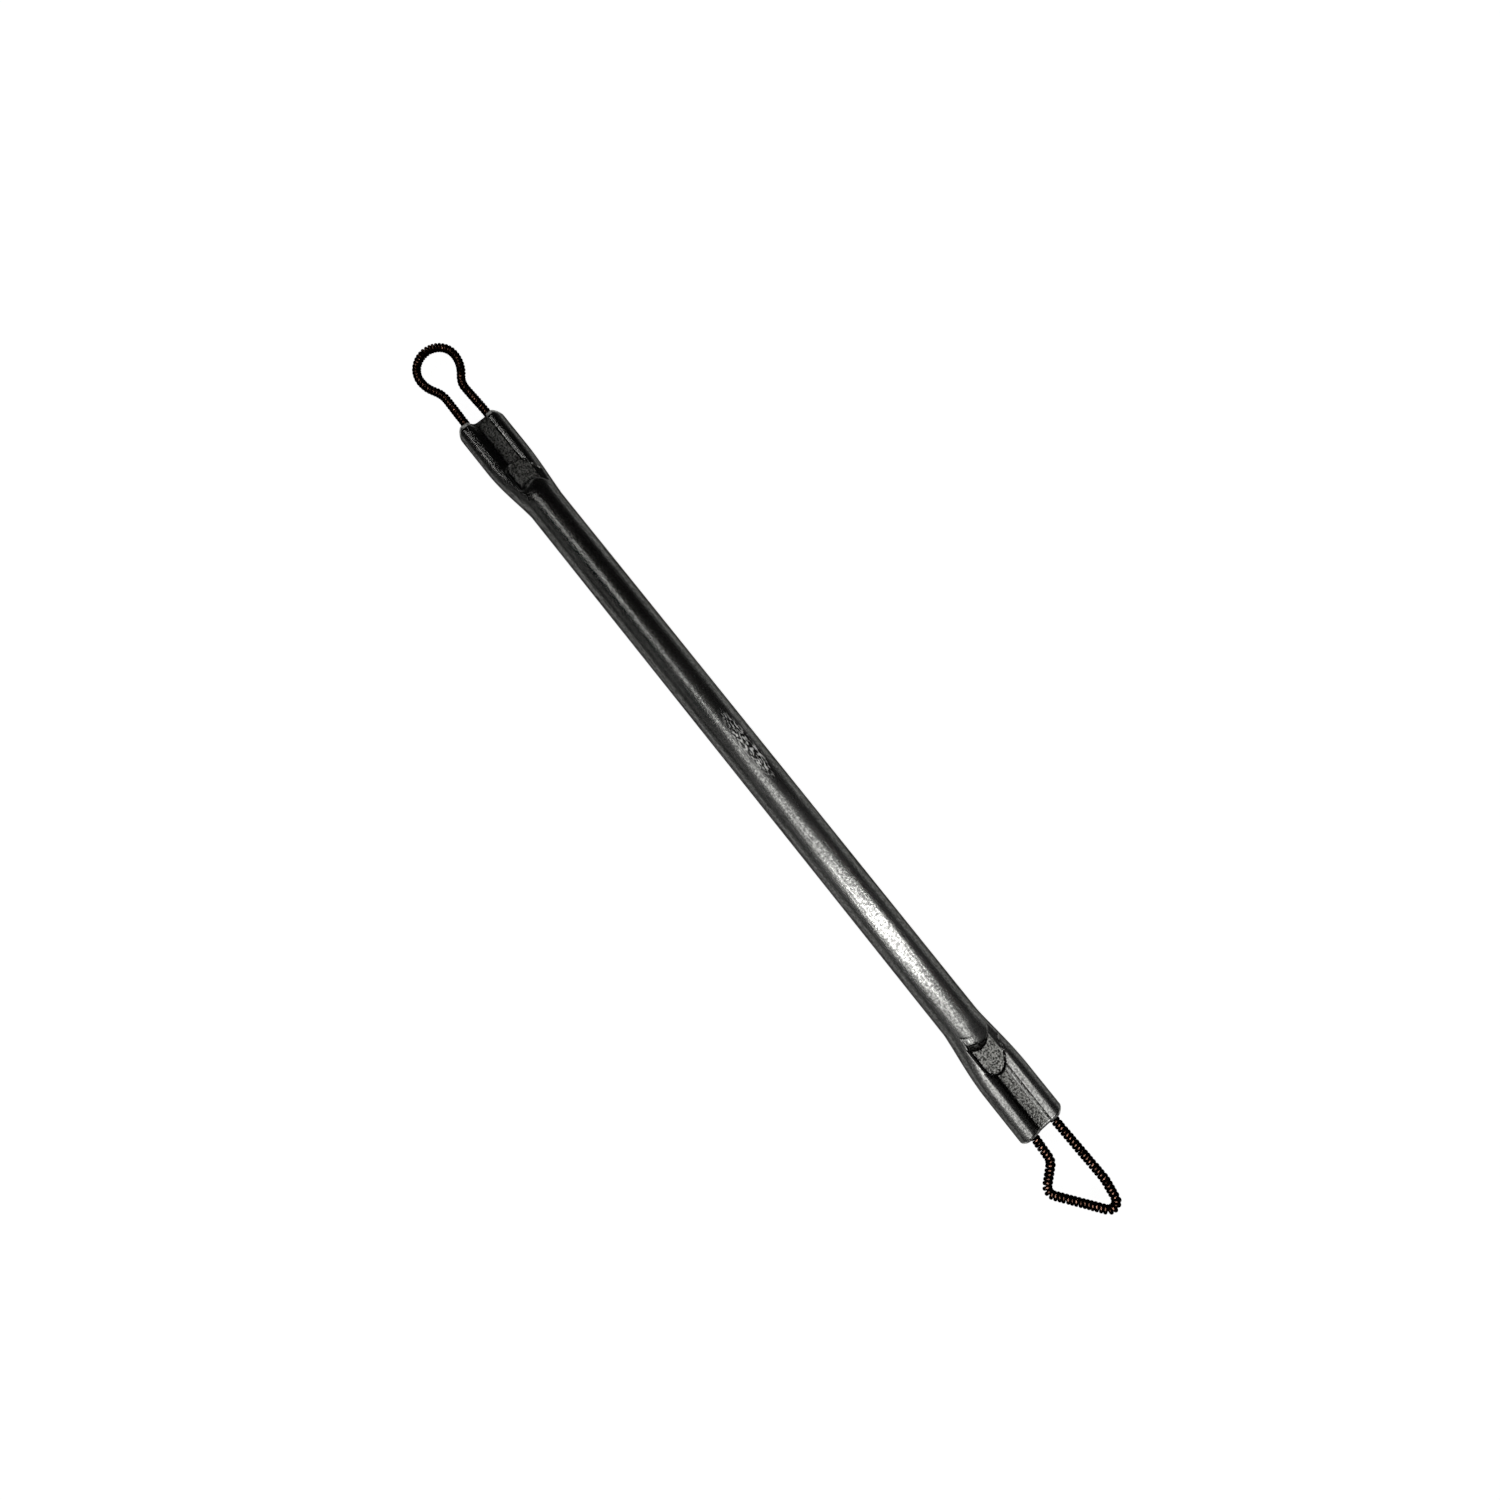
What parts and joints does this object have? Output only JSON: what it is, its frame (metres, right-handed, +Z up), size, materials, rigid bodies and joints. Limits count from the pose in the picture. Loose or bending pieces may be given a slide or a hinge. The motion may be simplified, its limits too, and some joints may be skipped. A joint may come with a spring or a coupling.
{
  "type": "double-ended wire loop tool",
  "caption": "Slender hand tool: a round metal tube with flattened, crimped ends, holding a round loop of wound wire at its rear end and an angled loop with a narrow tip at its front end.",
  "frame": {"origin": "on the handle tube's axis, halfway along its length", "axes": "+X runs along the tube towards the angled loop, +Y lies in the plane of both loops, on the side away from the angled loop's corner, and +Z is up, square to the loops' plane"},
  "size_m": [0.1744, 0.0105, 0.0064],
  "materials": {
    "tube_steel": "drawn bare metal tube, dull, scuffed at mid-length",
    "core_wire": "darkened hard-drawn core wire",
    "wrap_wire": "nearly black wound wire with warm glints"
  },
  "bodies": {
    "root": {"handle_tube": "tube_steel", "round_loop_core": "core_wire", "round_loop_winding": "wrap_wire", "angled_loop_core": "core_wire", "angled_loop_winding": "wrap_wire"}
  },
  "joints": []
}
